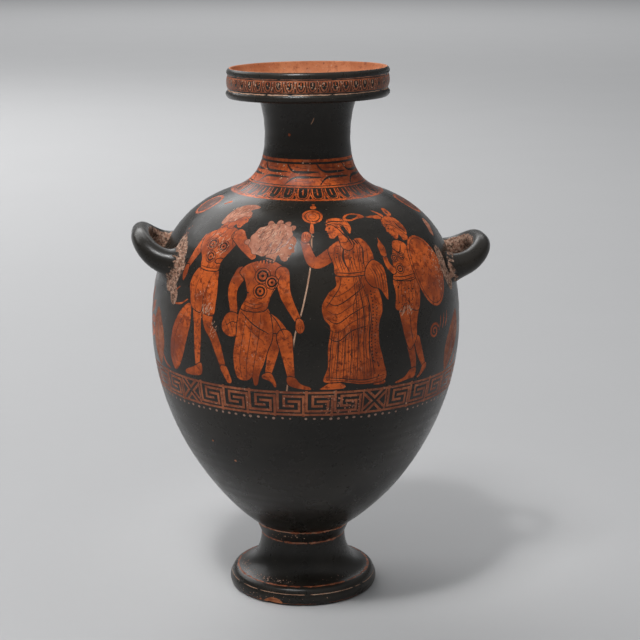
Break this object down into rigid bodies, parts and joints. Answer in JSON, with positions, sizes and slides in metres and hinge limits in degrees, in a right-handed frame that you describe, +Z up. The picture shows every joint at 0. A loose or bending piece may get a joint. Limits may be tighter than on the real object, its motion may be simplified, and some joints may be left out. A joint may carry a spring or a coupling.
{
  "type": "hydria",
  "caption": "Tall ovoid fired-clay water jar with a narrow neck, flat ring rim, footed base and loop handles, decorated in red figures on black gloss.",
  "frame": {"origin": "on the floor, midway between the outer edges of the two side handles and between the front and back of the body; the foot's centre is 8 mm towards -X because the side handles differ in reach", "axes": "+Z up the jar from foot to mouth; the side handles lie along X, the pouring handle is at +Y and the painted front faces -Y"},
  "size_m": [0.3217, 0.2784, 0.481],
  "materials": {
    "black_gloss_clay": "semi-gloss black slip over orange-red fired clay, with reserved red figures and worn, encrusted patches"
  },
  "bodies": {
    "root": {"hydria": "black_gloss_clay"}
  },
  "joints": []
}
